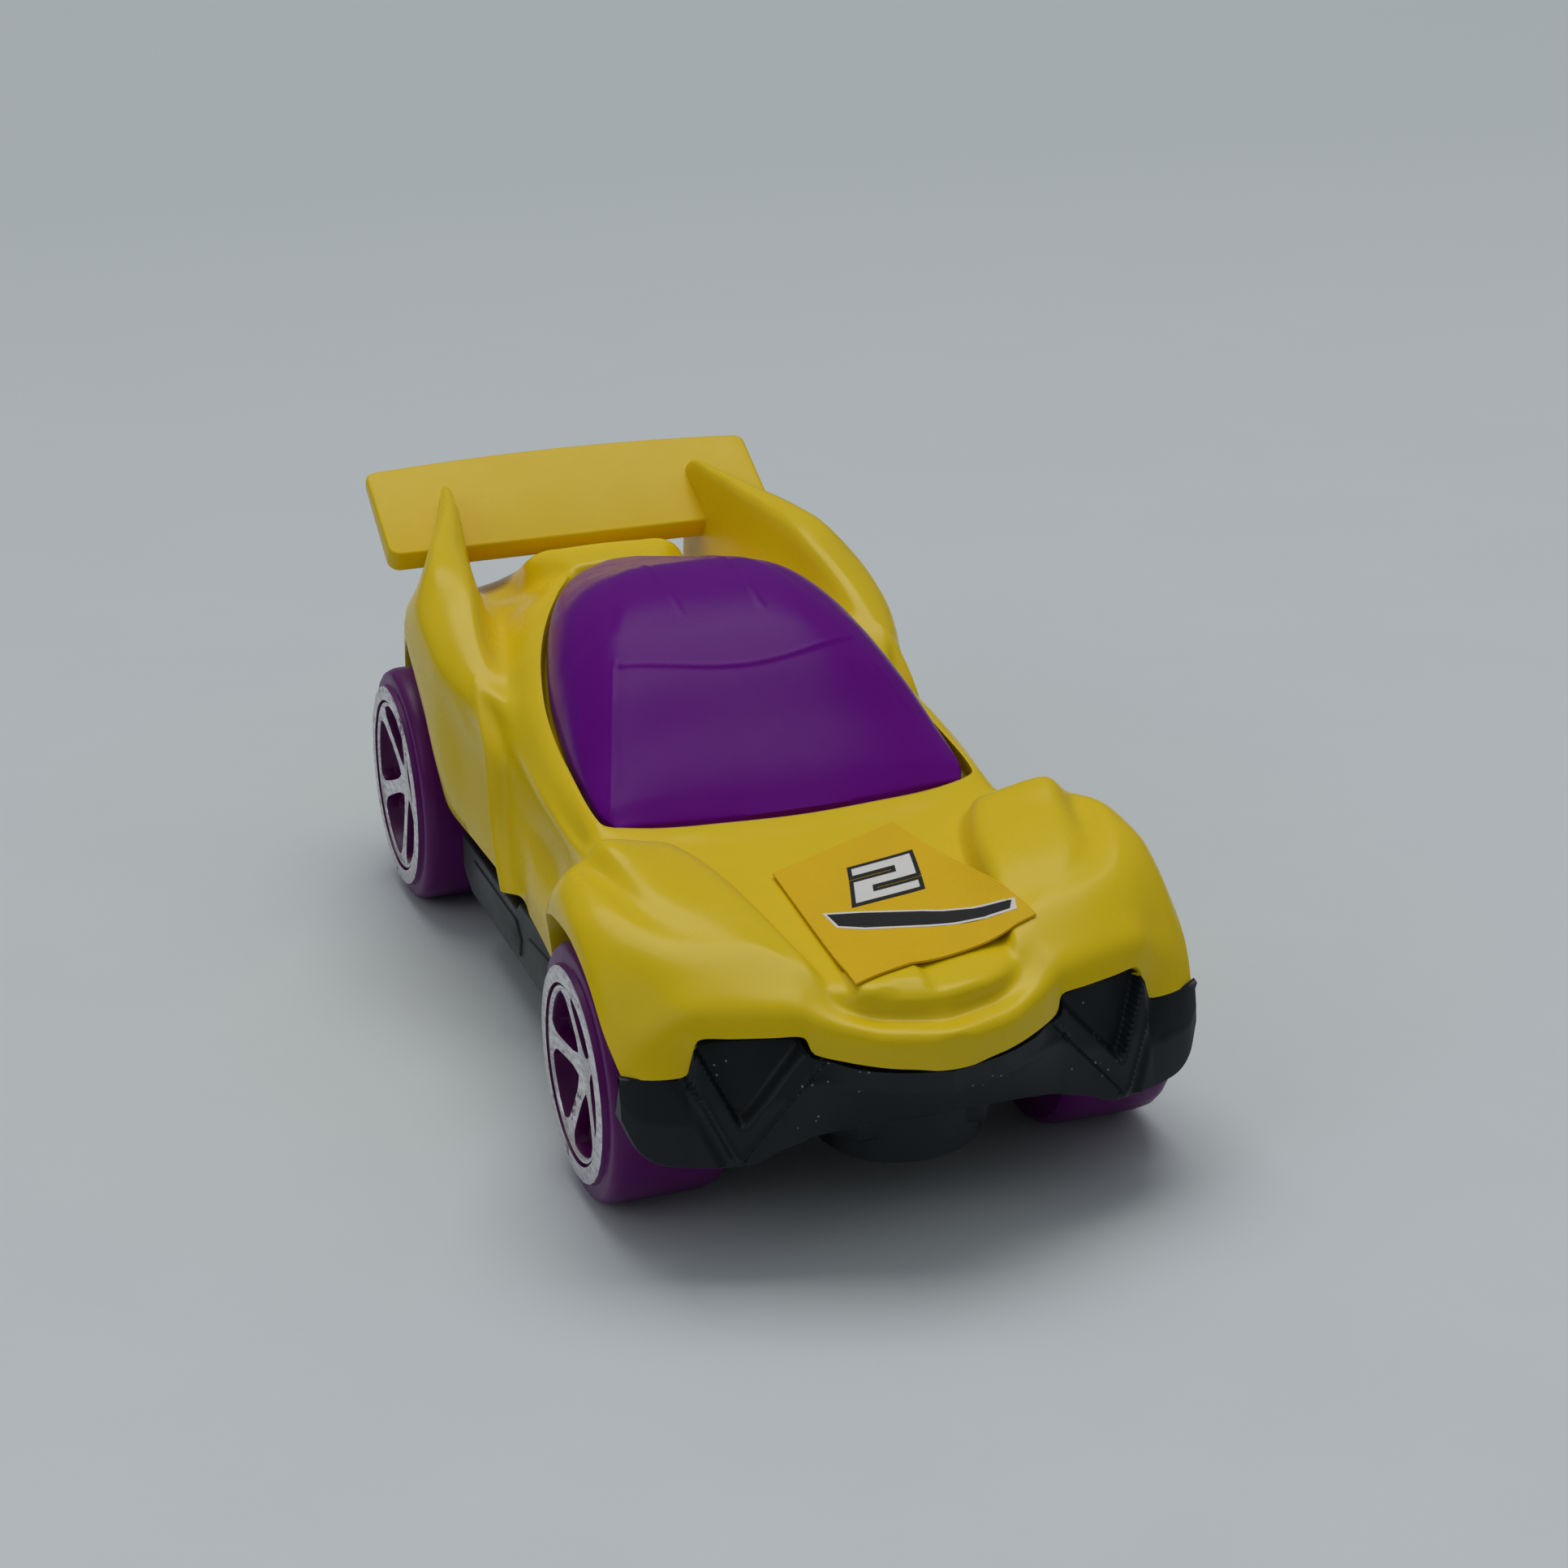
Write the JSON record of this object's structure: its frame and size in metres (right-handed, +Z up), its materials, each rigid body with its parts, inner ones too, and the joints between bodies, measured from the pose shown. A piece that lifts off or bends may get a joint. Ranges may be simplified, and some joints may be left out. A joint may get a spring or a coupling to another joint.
{
  "type": "pull back car",
  "caption": "Pull back toy sports car with a moulded body, domed canopy, rear wing between fins, spoked wheels on steel axles and a geared spring motor.",
  "frame": {"origin": "on the ground, under the middle of the car's box", "axes": "+Z up, -Y the way the nose points, +X the car's left side"},
  "size_m": [0.0312, 0.0712, 0.025],
  "materials": {
    "body_yellow": "satin moulded",
    "wing_yellow": "satin moulded",
    "canopy_purple": "gloss",
    "wheel_purple": "satin with silver print",
    "chassis_dark": "satin moulded",
    "sticker_paper": "woven texture print",
    "axle_steel": "drawn wire",
    "screw_steel": "plated",
    "spring_steel": "blued strip",
    "gear_nylon": "natural nylon",
    "motor_case_white": "moulded"
  },
  "bodies": {
    "car": {"body_shell": "body_yellow", "canopy": "canopy_purple", "rear_wing": "wing_yellow", "hood_sticker": "sticker_paper", "chassis": "chassis_dark", "chassis_screw_front": "screw_steel", "chassis_screw_rear": "screw_steel", "motor_case_left": "motor_case_white", "motor_case_right": "motor_case_white", "case_rivet_front": "axle_steel", "case_rivet_rear": "axle_steel", "transfer_pin": "axle_steel", "spring_pin": "axle_steel", "mainspring": "spring_steel"},
    "front_wheels": {"front_axle": "axle_steel", "wheel_front_left": "wheel_purple", "wheel_front_right": "wheel_purple"},
    "rear_wheels": {"rear_axle": "axle_steel", "wheel_rear_left": "wheel_purple", "wheel_rear_right": "wheel_purple", "axle_pinion": "gear_nylon"},
    "transfer": {"transfer_gear": "gear_nylon"},
    "spring_drive": {"spring_gear": "gear_nylon"}
  },
  "joints": [
    {"name": "front_axle_spin", "type": "hinge", "parent": "car", "child": "front_wheels", "pos_m": [0, -0.022, 0.00678], "axis": [1, 0, 0], "continuous": true},
    {"name": "rear_axle_spin", "type": "hinge", "parent": "car", "child": "rear_wheels", "pos_m": [0, 0.022, 0.00738], "axis": [1, 0, 0], "continuous": true},
    {"name": "transfer_spin", "type": "hinge", "parent": "car", "child": "transfer", "pos_m": [0, 0.01558, 0.0098], "axis": [1, 0, 0], "continuous": true},
    {"name": "spring_spin", "type": "hinge", "parent": "car", "child": "spring_drive", "pos_m": [0, 0.00959, 0.0089], "axis": [1, 0, 0], "continuous": true}
  ],
  "couplings": [
    {"joint": "transfer_spin", "follows": "rear_axle_spin", "ratio": -0.41667},
    {"joint": "spring_spin", "follows": "rear_axle_spin", "ratio": 0.20833}
  ]
}
